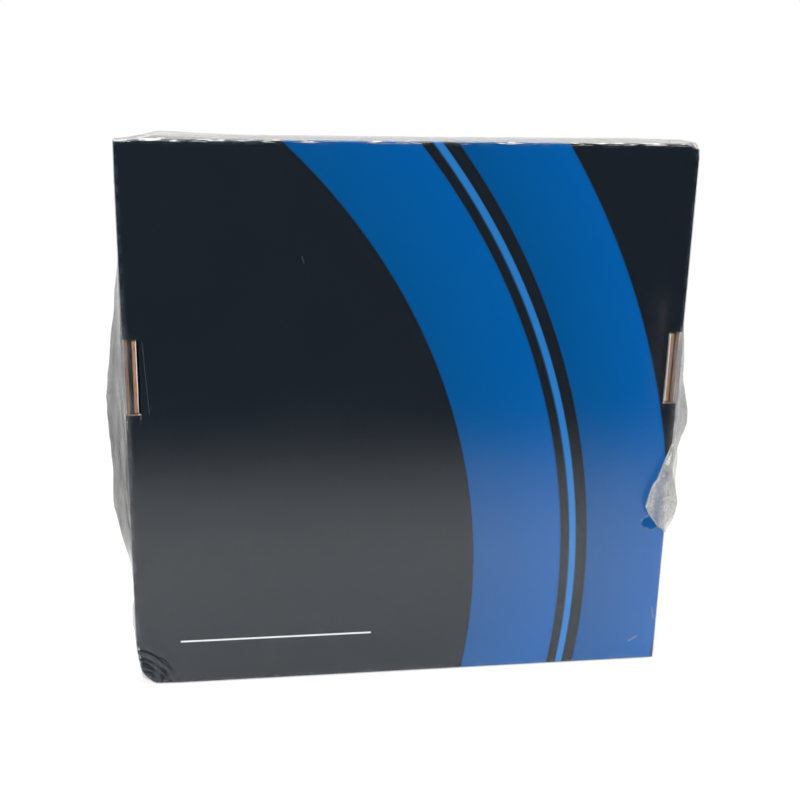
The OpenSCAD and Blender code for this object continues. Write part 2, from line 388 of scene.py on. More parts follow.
    # Relief: the flutes show through a little, and the varnish has flowed
    flutes = put(tree, "ShaderNodeTexWave", {"bands_direction": "X"},
                 {"Vector": place, "Scale": math.pi / (10 * carton["flutePitch"]), "Distortion": 0.6,
                  "Detail": 1.0}).outputs[1]
    peel = put(tree, "ShaderNodeTexNoise",
               links={"Vector": place, "Scale": 1 / boardFinish["varnishFlow"], "Detail": 2.0}).outputs[0]
    relief = put(tree, "ShaderNodeMath", {"operation": "MULTIPLY_ADD"},
                 {0: flutes, 1: 0.5, 2: peel}).outputs[0]
    strength, height = boardFinish["bump"]
    bump = put(tree, "ShaderNodeBump",
               links={"Strength": strength, "Distance": height * mm, "Height": relief}).outputs[0]
    smear = put(tree, "ShaderNodeTexNoise",
                links={"Vector": place, "Scale": 1 / boardFinish["smear"], "Detail": 4.0}).outputs[0]
    least, most = boardFinish["roughness"]
    gloss = put(tree, "ShaderNodeMapRange", links={0: smear, 1: 0.3, 2: 0.7, 3: least, 4: most}).outputs[0]

    # The film lies so close that board and film shine as one, and the board is dull where the film is torn,
    # with painted shadow darkening it there
    bare = put(tree, "ShaderNodeMath", {"operation": "LESS_THAN"},
               {0: tearSpan(tree, place), 1: 1.0}).outputs[0]
    bare = put(tree, "ShaderNodeMath", {"operation": "MULTIPLY"}, {0: bare, 1: onFront}).outputs[0]
    gloss = put(tree, "ShaderNodeMath", {"operation": "MULTIPLY_ADD"},
                {0: bare, 1: boardFinish["bareDull"], 2: gloss}).outputs[0]
    wrapped, unwrapped = boardFinish["sheen"]
    shine = put(tree, "ShaderNodeMapRange", links={0: bare, 3: wrapped, 4: unwrapped}).outputs[0]
    # Painted shadow in the tear: the ink is drawn towards the dark ground
    shade = put(tree, "ShaderNodeMath", {"operation": "MULTIPLY"},
                {0: bare, 1: boardFinish["tearShadow"]}).outputs[0]
    ink = put(tree, "ShaderNodeMix", {"data_type": "RGBA"}, {0: shade, 6: ink, 7: ground}).outputs[2]
    surface = put(tree, "ShaderNodeBsdfPrincipled", links={
        "Base Color": ink, "Roughness": gloss, "IOR": boardFinish["ior"], "Specular IOR Level": shine,
        "Normal": bump})
    put(tree, "ShaderNodeOutputMaterial", links={"Surface": surface.outputs[0]})
    return material


kraftFinish = {
    "tones": ((0.28, "#6c4b39"), (0.5, "#8e6a52"), (0.72, "#a6846b")),
    "liner": "#d5d0c9",
    "fleck": (0.8, 0.8, 6.0),  # mm
    "tabDepth": 5.0,  # mm behind the front where the lock tabs show
    "bump": (0.35, 0.08),  # strength, height in mm
    "roughness": 0.86,
    "ior": 1.45,
}


def buildKraftBoard():
    # Brown kraft paper, machine-made: matt, fibrous, with darker flecks along the board
    material, tree = startMaterial("brown kraft corrugated board")
    coords = put(tree, "ShaderNodeTexCoord").outputs["Object"]
    fleckScale = tuple(1 / (size * mm) for size in kraftFinish["fleck"])
    fibres = put(tree, "ShaderNodeMapping", links={0: coords, "Scale": fleckScale}).outputs[0]
    fleck = put(tree, "ShaderNodeTexNoise",
                links={"Vector": fibres, "Scale": 1.0, "Detail": 5.0, "Roughness": 0.65}).outputs[0]
    tone = put(tree, "ShaderNodeValToRGB", links={0: fleck})
    rampStops(tone, [(stop, linear(colour)) for stop, colour in kraftFinish["tones"]])
    # The white-coated liner shows at the cut edges, and on the side of each lock tab that faces inwards
    place = put(tree, "ShaderNodeVectorMath", {"operation": "SCALE"},
                {0: coords, "Scale": 1 / mm}).outputs[0]
    inside = put(tree, "ShaderNodeVectorMath", {"operation": "SUBTRACT"},
                 {0: tuple(cartonHalf), 1: awayFromMiddle(tree, place)}).outputs[0]
    depths = put(tree, "ShaderNodeSeparateXYZ", links={0: inside})
    depth = put(tree, "ShaderNodeMath", {"operation": "MINIMUM"},
                {0: depths.outputs["X"], 1: depths.outputs["Y"]}).outputs[0]
    depth = put(tree, "ShaderNodeMath", {"operation": "MINIMUM"},
                {0: depth, 1: depths.outputs["Z"]}).outputs[0]
    cut = put(tree, "ShaderNodeMath", {"operation": "LESS_THAN"},
              {0: depth, 1: carton["linerDepth"]}).outputs[0]
    toTab = put(tree, "ShaderNodeMath", {"operation": "GREATER_THAN"},
                {0: depths.outputs["X"], 1: carton["wallStack"] - carton["linerDepth"]}).outputs[0]
    nearFront = put(tree, "ShaderNodeMath", {"operation": "LESS_THAN"},
                    {0: depths.outputs["Y"], 1: kraftFinish["tabDepth"]}).outputs[0]
    tabSide = put(tree, "ShaderNodeMath", {"operation": "MULTIPLY"}, {0: toTab, 1: nearFront}).outputs[0]
    liner = put(tree, "ShaderNodeMath", {"operation": "MAXIMUM"}, {0: cut, 1: tabSide}).outputs[0]
    paper = put(tree, "ShaderNodeMix", {"data_type": "RGBA"},
                {0: liner, 6: tone.outputs[0], 7: linear(kraftFinish["liner"])}).outputs[2]
    strength, height = kraftFinish["bump"]
    bump = put(tree, "ShaderNodeBump",
               links={"Strength": strength, "Distance": height * mm, "Height": fleck}).outputs[0]
    surface = put(tree, "ShaderNodeBsdfPrincipled", links={
        "Base Color": paper, "Roughness": kraftFinish["roughness"], "IOR": kraftFinish["ior"],
        "Normal": bump})
    put(tree, "ShaderNodeOutputMaterial", links={"Surface": surface.outputs[0]})
    return material


steelFinish = {
    "tones": ("#8d9093", "#c9cbcd"),
    "turns": 1.2,  # mm between turns as drawn, the real strip's 0.15 mm is too fine to show
    "bump": (0.3, 0.05),  # strength, height in mm
    "roughness": (0.38, 0.26),
}


def buildBladeSteel():
    # Cold-rolled and ground steel strip: fine lines round the coil on its ends, bright and slightly bluish
    material, tree = startMaterial("cold-rolled ground steel strip")
    coords = put(tree, "ShaderNodeTexCoord").outputs["Object"]
    low, high = (np.array(corner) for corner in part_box("blade_coil"))
    middle = put(tree, "ShaderNodeMapping",
                 links={0: coords, "Location": tuple(-(low + high) / 2)}).outputs[0]
    turns = put(tree, "ShaderNodeTexWave", {"wave_type": "RINGS", "rings_direction": "Y"},
                {"Vector": middle, "Scale": math.pi / (10 * steelFinish["turns"] * mm), "Distortion": 0.8,
                 "Detail": 2.0}).outputs[1]
    tone = put(tree, "ShaderNodeValToRGB", links={0: turns})
    dark, light = steelFinish["tones"]
    rampStops(tone, [(0.0, linear(dark)), (1.0, linear(light))])
    most, least = steelFinish["roughness"]
    rough = put(tree, "ShaderNodeMapRange", links={0: turns, 3: most, 4: least}).outputs[0]
    strength, height = steelFinish["bump"]
    bump = put(tree, "ShaderNodeBump",
               links={"Strength": strength, "Distance": height * mm, "Height": turns}).outputs[0]
    surface = put(tree, "ShaderNodeBsdfPrincipled", links={
        "Base Color": tone.outputs[0], "Metallic": 1.0, "Roughness": rough, "Normal": bump})
    put(tree, "ShaderNodeOutputMaterial", links={"Surface": surface.outputs[0]})
    return material


# Painted shadow in the hollows at the open ends of the corrugations: dark browns
fluteShadowFinish = {
    "tones": ("#2c1f17", "#4d3829"),
    "grain": 0.6,  # mm
    "roughness": 0.9,
    "ior": 1.45,
}


def buildFluteShadow():
    # Ends of the corrugations between the liners: matt and dark brown, a painted shadow in the hollows
    material, tree = startMaterial("painted shadow in open kraft corrugations")
    coords = put(tree, "ShaderNodeTexCoord").outputs["Object"]
    grain = put(tree, "ShaderNodeTexNoise", links={
        "Vector": coords, "Scale": 1 / (fluteShadowFinish["grain"] * mm), "Detail": 3.0}).outputs[0]
    tone = put(tree, "ShaderNodeValToRGB", links={0: grain})
    dark, light = fluteShadowFinish["tones"]
    rampStops(tone, [(0.3, linear(dark)), (0.7, linear(light))])
    surface = put(tree, "ShaderNodeBsdfPrincipled", links={
        "Base Color": tone.outputs[0], "Roughness": fluteShadowFinish["roughness"], "IOR": fluteShadowFinish["ior"]})
    put(tree, "ShaderNodeOutputMaterial", links={"Surface": surface.outputs[0]})
    return material


filmFinish = {
    "clear": "#fbfbfb",
    "litShadedMilk": ("#5c5c5e", "#e6e4df"),  # the milky film's darkest tone, painted shade on slack film, and its palest, painted light on creased film
    "mirror": "#f6f6f4",
    "streak": (5.0, 5.0, 26.0),  # mm, drawn out along the height
    "streakHaze": (0.4, 1.45),  # what the streaks make of the haze
    "streakTone": (-0.06, 0.16),  # and add to the tone
    "tearDepth": (0.9, 0.2),  # mm before and behind the front's face
    "rimHaze": 0.1,
    "rimTone": 0.6,
    "creaseGlintSize": (7.0, 1.5, 0.7),  # mm, length, depth and height of the whitened creases with painted glints at the top edge
    "creaseGlintRange": (0.5, 0.62),
    "creaseGlintHaze": 0.65,
    "bump": (0.25, 0.15),  # strength, height in mm
    "milkRoughness": 0.38,
    "ior": 1.51,
    "straight": (0.02, 0.07),  # haze where it starts to mirror straight on, and the most of that
    "grazing": (5.0, 0.55),  # how late the mirror rises towards grazing, and its most
    "mirrorRoughness": 0.1,
}


def buildClearFilm():
    # Blown polyethylene film: clear and glossy where it is tight, milky where it is slack and creased, its
    # milky tone carrying painted light and shade
    material, tree = startMaterial("blown polyethylene film")
    coords = put(tree, "ShaderNodeTexCoord").outputs["Object"]
    slack = put(tree, "ShaderNodeAttribute", {"attribute_name": "haze"}).outputs["Fac"]
    streakScale = tuple(1 / (size * mm) for size in filmFinish["streak"])
    drawn = put(tree, "ShaderNodeMapping", links={0: coords, "Scale": streakScale}).outputs[0]
    streak = put(tree, "ShaderNodeTexNoise",
                 links={"Vector": drawn, "Scale": 1.0, "Detail": 4.0, "Roughness": 0.6}).outputs[0]
    least, most = filmFinish["streakHaze"]
    milky = put(tree, "ShaderNodeMapRange", links={0: streak, 1: 0.3, 2: 0.7, 3: least, 4: most}).outputs[0]

    # Tear in the film on the front, with a curled rim
    place = put(tree, "ShaderNodeVectorMath", {"operation": "SCALE"},
                {0: coords, "Scale": 1 / mm}).outputs[0]
    span = tearSpan(tree, place)
    axes = put(tree, "ShaderNodeSeparateXYZ", links={0: place})
    depth = axes.outputs["Y"]
    before, behind = filmFinish["tearDepth"]
    past = put(tree, "ShaderNodeMath", {"operation": "GREATER_THAN"},
               {0: depth, 1: cartonLow[1] - before}).outputs[0]
    ahead = put(tree, "ShaderNodeMath", {"operation": "LESS_THAN"},
                {0: depth, 1: cartonLow[1] + behind}).outputs[0]
    onFront = put(tree, "ShaderNodeMath", {"operation": "MULTIPLY"}, {0: past, 1: ahead}).outputs[0]
    inside = put(tree, "ShaderNodeMath", {"operation": "LESS_THAN"}, {0: span, 1: 1.0}).outputs[0]
    torn = put(tree, "ShaderNodeMath", {"operation": "MULTIPLY"}, {0: inside, 1: onFront}).outputs[0]
    curled = put(tree, "ShaderNodeMath", {"operation": "LESS_THAN"}, {0: span, 1: tear["rim"]}).outputs[0]
    rim = put(tree, "ShaderNodeMath", {"operation": "MULTIPLY"}, {0: curled, 1: onFront}).outputs[0]

    # Pinched creases along the front's top edge, whitened, with painted glints
    long, deep, high = filmFinish["creaseGlintSize"]
    top = cartonHigh[2]
    creaseGlint = put(tree, "ShaderNodeMapping",
                  links={0: place, "Scale": (1 / long, 1 / deep, 1 / high)}).outputs[0]
    creaseGlint = put(tree, "ShaderNodeTexNoise",
                  links={"Vector": creaseGlint, "Scale": 1.0, "Detail": 4.0}).outputs[0]
    start, end = filmFinish["creaseGlintRange"]
    creaseGlint = put(tree, "ShaderNodeMapRange", links={0: creaseGlint, 1: start, 2: end}).outputs[0]
    atTop = put(tree, "ShaderNodeMapRange",
                links={0: axes.outputs["Z"], 1: top - 2 * high, 2: top - 0.5 * high}).outputs[0]
    atEdge = put(tree, "ShaderNodeMath", {"operation": "LESS_THAN"},
                 {0: depth, 1: cartonLow[1] + deep}).outputs[0]
    atEdge = put(tree, "ShaderNodeMath", {"operation": "MULTIPLY"}, {0: atTop, 1: atEdge}).outputs[0]
    # white flecks: whitened creases and painted glints
    white = put(tree, "ShaderNodeMath", {"operation": "MULTIPLY"}, {0: creaseGlint, 1: atEdge}).outputs[0]

    cloud = put(tree, "ShaderNodeMath", {"operation": "MULTIPLY"}, {0: slack, 1: milky}).outputs[0]
    cloud = put(tree, "ShaderNodeMath", {"operation": "MULTIPLY_ADD"},
                {0: white, 1: filmFinish["creaseGlintHaze"], 2: cloud}).outputs[0]
    haze = put(tree, "ShaderNodeMath", {"operation": "MULTIPLY_ADD", "use_clamp": True},
               {0: rim, 1: filmFinish["rimHaze"], 2: cloud}).outputs[0]
    fine = put(tree, "ShaderNodeTexNoise", links={"Vector": drawn, "Scale": 3.0, "Detail": 3.0}).outputs[0]
    strength, height = filmFinish["bump"]
    bump = put(tree, "ShaderNodeBump",
               links={"Strength": strength, "Distance": height * mm, "Height": fine}).outputs[0]
    clear = put(tree, "ShaderNodeBsdfTransparent", links={"Color": linear(filmFinish["clear"])})
    # Tone of the milky film, set part by part: painted light and shade
    milkLightShade = put(tree, "ShaderNodeAttribute", {"attribute_name": "litShadedMilk"}).outputs["Fac"]
    least, most = filmFinish["streakTone"]
    shift = put(tree, "ShaderNodeMapRange", links={0: streak, 1: 0.3, 2: 0.7, 3: least, 4: most}).outputs[0]
    pale = put(tree, "ShaderNodeMath", {"operation": "ADD", "use_clamp": True},
               {0: milkLightShade, 1: shift}).outputs[0]
    curl = put(tree, "ShaderNodeMath", {"operation": "MULTIPLY"},
               {0: rim, 1: filmFinish["rimTone"]}).outputs[0]
    pale = put(tree, "ShaderNodeMath", {"operation": "MAXIMUM"}, {0: pale, 1: curl}).outputs[0]
    pale = put(tree, "ShaderNodeMath", {"operation": "MAXIMUM"}, {0: pale, 1: white}).outputs[0]
    dark, light = filmFinish["litShadedMilk"]
    tone = put(tree, "ShaderNodeMix", {"data_type": "RGBA"},
               {0: pale, 6: linear(dark), 7: linear(light)}).outputs[2]
    litShadedMilk = put(tree, "ShaderNodeBsdfPrincipled", links={
        "Base Color": tone, "Roughness": filmFinish["milkRoughness"], "IOR": filmFinish["ior"],
        "Normal": bump})
    body = put(tree, "ShaderNodeMixShader",
               links={0: haze, 1: clear.outputs[0], 2: litShadedMilk.outputs[0]}).outputs[0]

    # Mirror: none straight on where the film is tight, because the board's sheen holds it, strong at grazing
    facing = put(tree, "ShaderNodeLayerWeight", links={"Blend": 0.5, "Normal": bump}).outputs["Facing"]
    late, most = filmFinish["grazing"]
    grazing = put(tree, "ShaderNodeMath", {"operation": "POWER"}, {0: facing, 1: late}).outputs[0]
    start, end = filmFinish["straight"]
    straight = put(tree, "ShaderNodeMapRange",
                   links={0: haze, 1: start, 2: 1.0, 3: 0.0, 4: end}).outputs[0]
    mirror = put(tree, "ShaderNodeMapRange", links={0: grazing, 3: straight, 4: most}).outputs[0]
    gloss = put(tree, "ShaderNodeBsdfGlossy", links={
        "Color": linear(filmFinish["mirror"]), "Roughness": filmFinish["mirrorRoughness"], "Normal": bump})
    skin = put(tree, "ShaderNodeMixShader", links={0: mirror, 1: body, 2: gloss.outputs[0]}).outputs[0]
    hole = put(tree, "ShaderNodeBsdfTransparent", links={"Color": linear("#ffffff")})
    surface = put(tree, "ShaderNodeMixShader", links={0: torn, 1: skin, 2: hole.outputs[0]})
    put(tree, "ShaderNodeOutputMaterial", links={"Surface": surface.outputs[0]})
    return material


printedBoard = buildPrintedBoard()
kraftBoard = buildKraftBoard()
fluteShadow = buildFluteShadow()
bladeSteel = buildBladeSteel()
clearFilm = buildClearFilm()
print("materials: board, kraft, flutes, steel and film")

# Knocks that the carton and the film share: corner (sign of x, y, z), reach in mm along x, y and z,
# how sharply it falls off, push in mm, and creases across the front as (distance from the corner, depth)
knocks = (
    {"corner": (-1, -1, -1), "reach": (30.0, 30.0, 30.0), "sharp": 2.0, "push": (4.5, 1.0, 0.3),
     "creases": ((9.0, 1.4), (13.5, 1.9), (18.0, 1.6), (23.5, 1.8))},
    {"corner": (-1, -1, -1), "reach": (9.0, 9.0, 9.0), "sharp": 1.5, "push": (2.5, 0.5, 1.8),
     "creases": ()},
    {"corner": (1, -1, 1), "reach": (7.0, 7.0, 7.0), "sharp": 1.0, "push": (-0.3, 0.5, -3.0),
     "creases": ()},
    {"corner": (-1, 1, 1), "reach": (20.0, 60.0, 30.0), "sharp": 1.0, "push": (1.5, -0.8, -5.0),
     "creases": ()},
    {"corner": (1, 1, 1), "reach": (24.0, 24.0, 24.0), "sharp": 1.5, "push": (-1.0, -0.5, -2.5),
     "creases": ()},
)
crease = {
    "halfWidth": 1.7,  # mm
    "bow": 1.5,  # 1 runs straight across the corner, 2 is round it
    "depth": 12.0,  # mm behind the front where it has died out
    "foot": 2.0,  # mm above the base where it is full
    "swell": (0.75, 0.25, 5.0),  # depth's share, how much it varies, and how often round the corner
}
topSag = {
    "drop": 1.4,  # mm that the top wall's free edge is drawn down
    "middle": 0.8,  # mm more in the middle
    "from": 230.0,  # height where it starts
    "curve": 1.5,  # how late it comes on towards the back
}


def knockIn(points):  # moves points (mm) as the knocks and the sag do
    moved = points.copy()
    share, vary, often = crease["swell"]
    for knock in knocks:
        corner = cartonMid + cartonHalf * knock["corner"]
        near = np.clip(1 - np.linalg.norm((points - corner) / knock["reach"], axis=1), 0, 1)
        moved += (near ** knock["sharp"])[:, None] * np.array(knock["push"])
        acrossX, _, acrossZ = np.abs(points - corner).T
        across = (acrossX ** crease["bow"] + acrossZ ** crease["bow"]) ** (1 / crease["bow"])
        shallow = np.clip(1 - np.abs(points[:, 1] - corner[1]) / crease["depth"], 0, 1)
        shallow = shallow * np.clip((points[:, 2] - cartonLow[2]) / crease["foot"], 0, 1)
        for place, depth in knock["creases"]:
            swell = share + vary * np.sin(often * np.arctan2(acrossZ, acrossX) + place)
            groove = np.clip(1 - np.abs(across - place) / crease["halfWidth"], 0, 1)
            moved[:, 1] -= np.sign(knock["corner"][1]) * depth * swell * groove * shallow
    back = np.clip((points[:, 1] - cartonLow[1]) / (2 * cartonHalf[1]), 0, 1)
    up = np.clip((points[:, 2] - topSag["from"]) / (cartonHigh[2] - topSag["from"]), 0, 1)
    drop = topSag["drop"] + topSag["middle"] * (1 - ((points[:, 0] - cartonMid[0]) / cartonHalf[0]) ** 2)
    moved[:, 2] -= drop * back ** topSag["curve"] * up
    return moved


def outsideDepth(points):  # mm inside the box with rounded folds
    away = np.abs(points - cartonMid) - (cartonHalf - carton["foldRadius"])
    outside = np.linalg.norm(np.maximum(away, 0), axis=1)
    return carton["foldRadius"] - outside - np.minimum(away.max(axis=1), 0)


def cutEnds(middle, normal):  # faces where the corrugations end in the open, given the painted shadow of their hollows
    wallEnd = abs(normal[2]) > 0.9 and abs(middle[0]) > cartonHigh[0] - carton["board"]
    wallEnd = wallEnd and middle[1] > cartonLow[1] + carton["board"] + carton["layerGap"]
    topEdge = normal[1] > 0.9 and middle[2] > cartonHigh[2] - carton["board"]
    return wallEnd or topEdge


def buildCarton():
    shape = bmesh.new()
    shape.from_mesh(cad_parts["carton"].data)
    bmesh.ops.remove_doubles(shape, verts=shape.verts, dist=0.001 * mm)
    for axis in (0, 2):
        span = cartonHigh[axis] - cartonLow[axis]
        places = list(np.arange(carton["cut"], span, carton["cut"]))
        for knock in knocks:
            step = carton["creaseCut"] if knock["creases"] else carton["cornerCut"]
            near = np.arange(step, knock["reach"][axis], step)
            places += list(near if knock["corner"][axis] < 0 else span - near)
        for place in sorted(set(np.round(places, 3))):
            spot, way = [0, 0, 0], [0, 0, 0]
            spot[axis] = (cartonLow[axis] + place) * mm
            way[axis] = 1
            bmesh.ops.bisect_plane(shape, geom=shape.verts[:] + shape.edges[:] + shape.faces[:],
                                   plane_co=spot, plane_no=way, dist=0.01 * mm)
    shape.normal_update()
    middles = np.array([face.calc_center_median() for face in shape.faces]) / mm
    for face, middle, depth in zip(shape.faces, middles, outsideDepth(middles)):
        face.material_index = 0 if depth < carton["outsideDepth"] else 1
        if face.material_index == 0 and cutEnds(middle, face.normal):
            face.material_index = 2
    points = np.array([v.co for v in shape.verts]) / mm
    for vertex, point in zip(shape.verts, knockIn(points)):
        vertex.co = point * mm
    mesh = bpy.data.meshes.new("printed_carton")
    shape.to_mesh(mesh)
    shape.free()
    for material in (printedBoard, kraftBoard, fluteShadow):
        mesh.materials.append(material)
    mesh.shade_smooth()
    mesh.set_sharp_from_angle(angle=math.radians(carton["smoothAngle"]))
    piece = bpy.data.objects.new("printed_carton", mesh)
    scene.collection.objects.link(piece)
    return piece


printedCarton = buildCarton()
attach(printedCarton, "root")
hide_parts("carton")
print("carton:", len(printedCarton.data.polygons), "faces")

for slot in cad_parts["blade_coil"].material_slots:
    slot.material = bladeSteel

# Corrugations at the cut edges: a wavy paper between two liners, along each edge
fluteEdge = {
    "pitch": carton["flutePitch"],
    "paper": 0.28,
    "board": carton["board"],
    "inset": 0.6,  # mm from the ends of an edge
    "steps": 12.0,  # to a wave
    "sides": 6,  # of each paper's section
}


def buildFluteTree():
    tree = bpy.data.node_groups.new("corrugated edge", "GeometryNodeTree")
    tree.interface.new_socket("Geometry", in_out="INPUT", socket_type="NodeSocketGeometry")
    for name in ("Pitch", "Paper", "Board"):
        tree.interface.new_socket(name, in_out="INPUT", socket_type="NodeSocketFloat")
    tree.interface.new_socket("Material", in_out="INPUT", socket_type="NodeSocketMaterial")
    tree.interface.new_socket("Geometry", in_out="OUTPUT", socket_type="NodeSocketGeometry")
    given = put(tree, "NodeGroupInput").outputs
    across = put(tree, "GeometryNodeInputNamedAttribute", {"data_type": "FLOAT_VECTOR"},
                 {"Name": "across"}).outputs[0]
    line = put(tree, "GeometryNodeMeshToCurve", links={0: given["Geometry"]}).outputs[0]
    step = put(tree, "ShaderNodeMath", {"operation": "DIVIDE"},
               {0: given["Pitch"], 1: fluteEdge["steps"]}).outputs[0]
    line = put(tree, "GeometryNodeResampleCurve", {"mode": "LENGTH"},
               {"Curve": line, "Length": step}).outputs[0]
    room = put(tree, "ShaderNodeMath", {"operation": "SUBTRACT"},
               {0: given["Board"], 1: given["Paper"]}).outputs[0]
    liner = put(tree, "ShaderNodeMath", {"operation": "MULTIPLY"}, {0: room, 1: 0.5}).outputs[0]
    swing = put(tree, "ShaderNodeMath", {"operation": "SUBTRACT"}, {0: liner, 1: given["Paper"]}).outputs[0]
    run = put(tree, "GeometryNodeSplineParameter").outputs["Length"]
    turns = put(tree, "ShaderNodeMath", {"operation": "DIVIDE"}, {0: run, 1: given["Pitch"]}).outputs[0]
    angle = put(tree, "ShaderNodeMath", {"operation": "MULTIPLY"}, {0: turns, 1: 2 * math.pi}).outputs[0]
    wave = put(tree, "ShaderNodeMath", {"operation": "SINE"}, {0: angle}).outputs[0]
    wave = put(tree, "ShaderNodeMath", {"operation": "MULTIPLY"}, {0: wave, 1: swing}).outputs[0]
    below = put(tree, "ShaderNodeMath", {"operation": "MULTIPLY"}, {0: liner, 1: -1.0}).outputs[0]
    radius = put(tree, "ShaderNodeMath", {"operation": "MULTIPLY"}, {0: given["Paper"], 1: 0.5}).outputs[0]
    section = put(tree, "GeometryNodeCurvePrimitiveCircle",
                  links={"Resolution": fluteEdge["sides"], "Radius": radius}).outputs[0]
    papers = put(tree, "GeometryNodeJoinGeometry")
    for height in (wave, liner, below):
        offset = put(tree, "ShaderNodeVectorMath", {"operation": "SCALE"},
                     {0: across, "Scale": height}).outputs[0]
        moved = put(tree, "GeometryNodeSetPosition", links={"Geometry": line, "Offset": offset}).outputs[0]
        paper = put(tree, "GeometryNodeCurveToMesh",
                    links={"Curve": moved, "Profile Curve": section, "Fill Caps": True}).outputs[0]
        tree.links.new(paper, papers.inputs[0])
    real = put(tree, "GeometryNodeRealizeInstances", links={0: papers.outputs[0]}).outputs[0]
    done = put(tree, "GeometryNodeSetMaterial",
               links={"Geometry": real, "Material": given["Material"]}).outputs[0]
    put(tree, "NodeGroupOutput", links={0: done})
    return tree


def buildFlutes():
    inset, half = fluteEdge["inset"], fluteEdge["board"] / 2
    _, backY, topZ = cartonHigh
    wallX = cartonHigh[0] - half
    endX = cartonHigh[0] - carton["board"] - carton["layerGap"] - inset
    wallFront = cartonLow[1] + carton["board"] + carton["layerGap"] + inset
    wallBack = backY - 2 * carton["board"] - carton["layerGap"] - inset
    edges = (  # from, to, across the board
        ((-endX, backY, topZ - half), (endX, backY, topZ - half), (0, 0, 1)),
        ((wallX, wallFront, topZ), (wallX, wallBack, topZ), (1, 0, 0)),
        ((-wallX, wallFront, topZ), (-wallX, wallBack, topZ), (1, 0, 0)),
    )
    mesh = bpy.data.meshes.new("flute_edges")
    ends = [np.array(end) * mm for edge in edges for end in edge[:2]]
    mesh.from_pydata(ends, [(2 * i, 2 * i + 1) for i in range(len(edges))], [])
    ways = np.array([edge[2] for edge in edges for _ in range(2)], dtype=np.float32)
    mesh.attributes.new("across", "FLOAT_VECTOR", "POINT").data.foreach_set("vector", ways.ravel())
    piece = bpy.data.objects.new("flute_edges", mesh)
    scene.collection.objects.link(piece)
    grow = piece.modifiers.new("corrugations", "NODES")
    grow.node_group = buildFluteTree()
    sizes = {"Pitch": fluteEdge["pitch"] * mm, "Paper": fluteEdge["paper"] * mm,
             "Board": fluteEdge["board"] * mm, "Material": kraftBoard}
    for socket in grow.node_group.interface.items_tree:
        if socket.in_out == "INPUT" and socket.name in sizes:
            grow[socket.identifier] = sizes[socket.name]
    grown = bpy.data.meshes.new_from_object(piece.evaluated_get(bpy.context.evaluated_depsgraph_get()))
    piece.modifiers.remove(grow)
    piece.data = grown
    points = np.array([v.co for v in grown.vertices]) / mm
    grown.vertices.foreach_set("co", (knockIn(points) * mm).ravel())
    grown.shade_smooth()
    return piece


flutes = buildFlutes()
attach(flutes, "root")
print("flutes:", len(flutes.data.polygons), "faces")

# Film: tight on the panels, slack and creased at both sides, a fold of it lying over the front's right edge
filmWrap = {
    "standOff": 0.3,  # mm clear of the board
    "cornerRadius": 0.6,
    "edgeLines": (0.0, 0.2, 0.6),
    "grid": 4.2,
    "fineGrid": 0.9,  # round the creased corner
    "fineReach": 32.0,
    "depthGrid": 1.3,
    "thickness": 0.05,
    "flat": (0.75, 0.42),  # m, once round the carton with a lap, by its width and both depths
    "leftSlack": (  # height, stand-off
        (258, 0.0), (248, 0.7), (231, 3.0), (219, 3.8), (207, 6.2), (190, 7.9), (172, 9.4), (149, 8.8),
        (131, 8.3), (108, 7.9), (96, 6.2), (85, 4.1), (79, 2.6), (66, 0.5), (52, 0.0), (44, 1.9),
        (32, 2.3), (20, 0.0)),
    "rightSlack": (
        (212, 0.0), (206, 1.5), (198, 2.8), (184, 4.2), (175, 5.0), (167, 7.2), (158, 9.4), (149, 9.4),
        (143, 7.2), (134, 5.3), (125, 3.4), (119, 3.4), (106, 6.0), (102, 7.2), (98, 7.3), (94, 5.9),
        (90, 3.0), (86, 0.5), (84, 0.0)),
    "leftRidge": (-14.0, 4.0, 31.0),  # depth of the slack's crest, how far it wanders and over what height
    "rightRidge": (-21.0, 2.0, 23.0),
    "sideCrease": (9.0, 0.22),  # mm, and how far the creases are drawn out along the height
    "sideCrinkle": (0.2, 0.2),  # mm everywhere, and share of the slack
    "rightLift": (  # height, lift off the front's right edge
        (206, 0.0), (190, 0.6), (150, 1.2), (110, 2.0), (92, 1.0), (85, 0.0)),
    "liftReach": 3.0,  # mm in from that edge
    "topBulge": (-137.0, 24.0, 1.3),  # x, half width and height in mm
    "topInset": 5.0,  # mm from the top's edges where it is free
    "topCrease": (12.0, 1.2),  # mm, and how far the creases are squeezed along the depth
    "topCrinkle": (0.1, 0.5),  # mm at its edges, and more inside them
    "edgeCrease": (10.0, 1.3, 0.35, 4.0),  # at the front's top edge: mm, squeeze, height, reach down
    "faceCrease": 38.0,  # mm
    "faceSlack": (0.04, 0.2, 0.5),  # mm on the front, on the back, and more at the back's rim
    "rimReach": 45.0,  # mm
    "seed": 7,
}

# Fold of the film: a closed pocket that lies over the front's right edge, its two faces are two layers
fold = {
    "reach": (  # height, reach over the front
        (146, 0.0), (138, 3.0), (129, 6.6), (120, 9.4), (116, 12.0), (108, 14.4), (102, 15.2), (97, 12.8),
        (92, 8.6), (88, 6.0), (84, 0.0)),
    "grid": (61, 124),  # points out and back, and up the fold
    "fullReach": 7.0,  # mm of reach where the fold stands full
    "wrinkle": 9.0,  # mm
    "pleats": (2.1, 4.6),  # how much finer the pleats and the fine creases are
    "crisp": 2.4,
    "weights": (0.9, 0.4, 0.16),  # of wrinkles, pleats and fine creases
    "wrinkleHeight": 0.9,  # mm
    "clear": 0.4,  # mm before the film on the front
    "rise": (1.6, 2.0),  # mm that the lower layer stands out, and more for the upper one
    "rootOut": (0.3, 0.6),  # mm past the edge, and share of the slack there
    "haze": (0.24, 0.12, 0.35),  # everywhere, in creases and along the free edge
    "tone": (0.44, 0.4),  # painted light on the fold's milky film: everywhere and along the free edge
    "edge": 0.95,  # share of the reach where the free edge starts
}

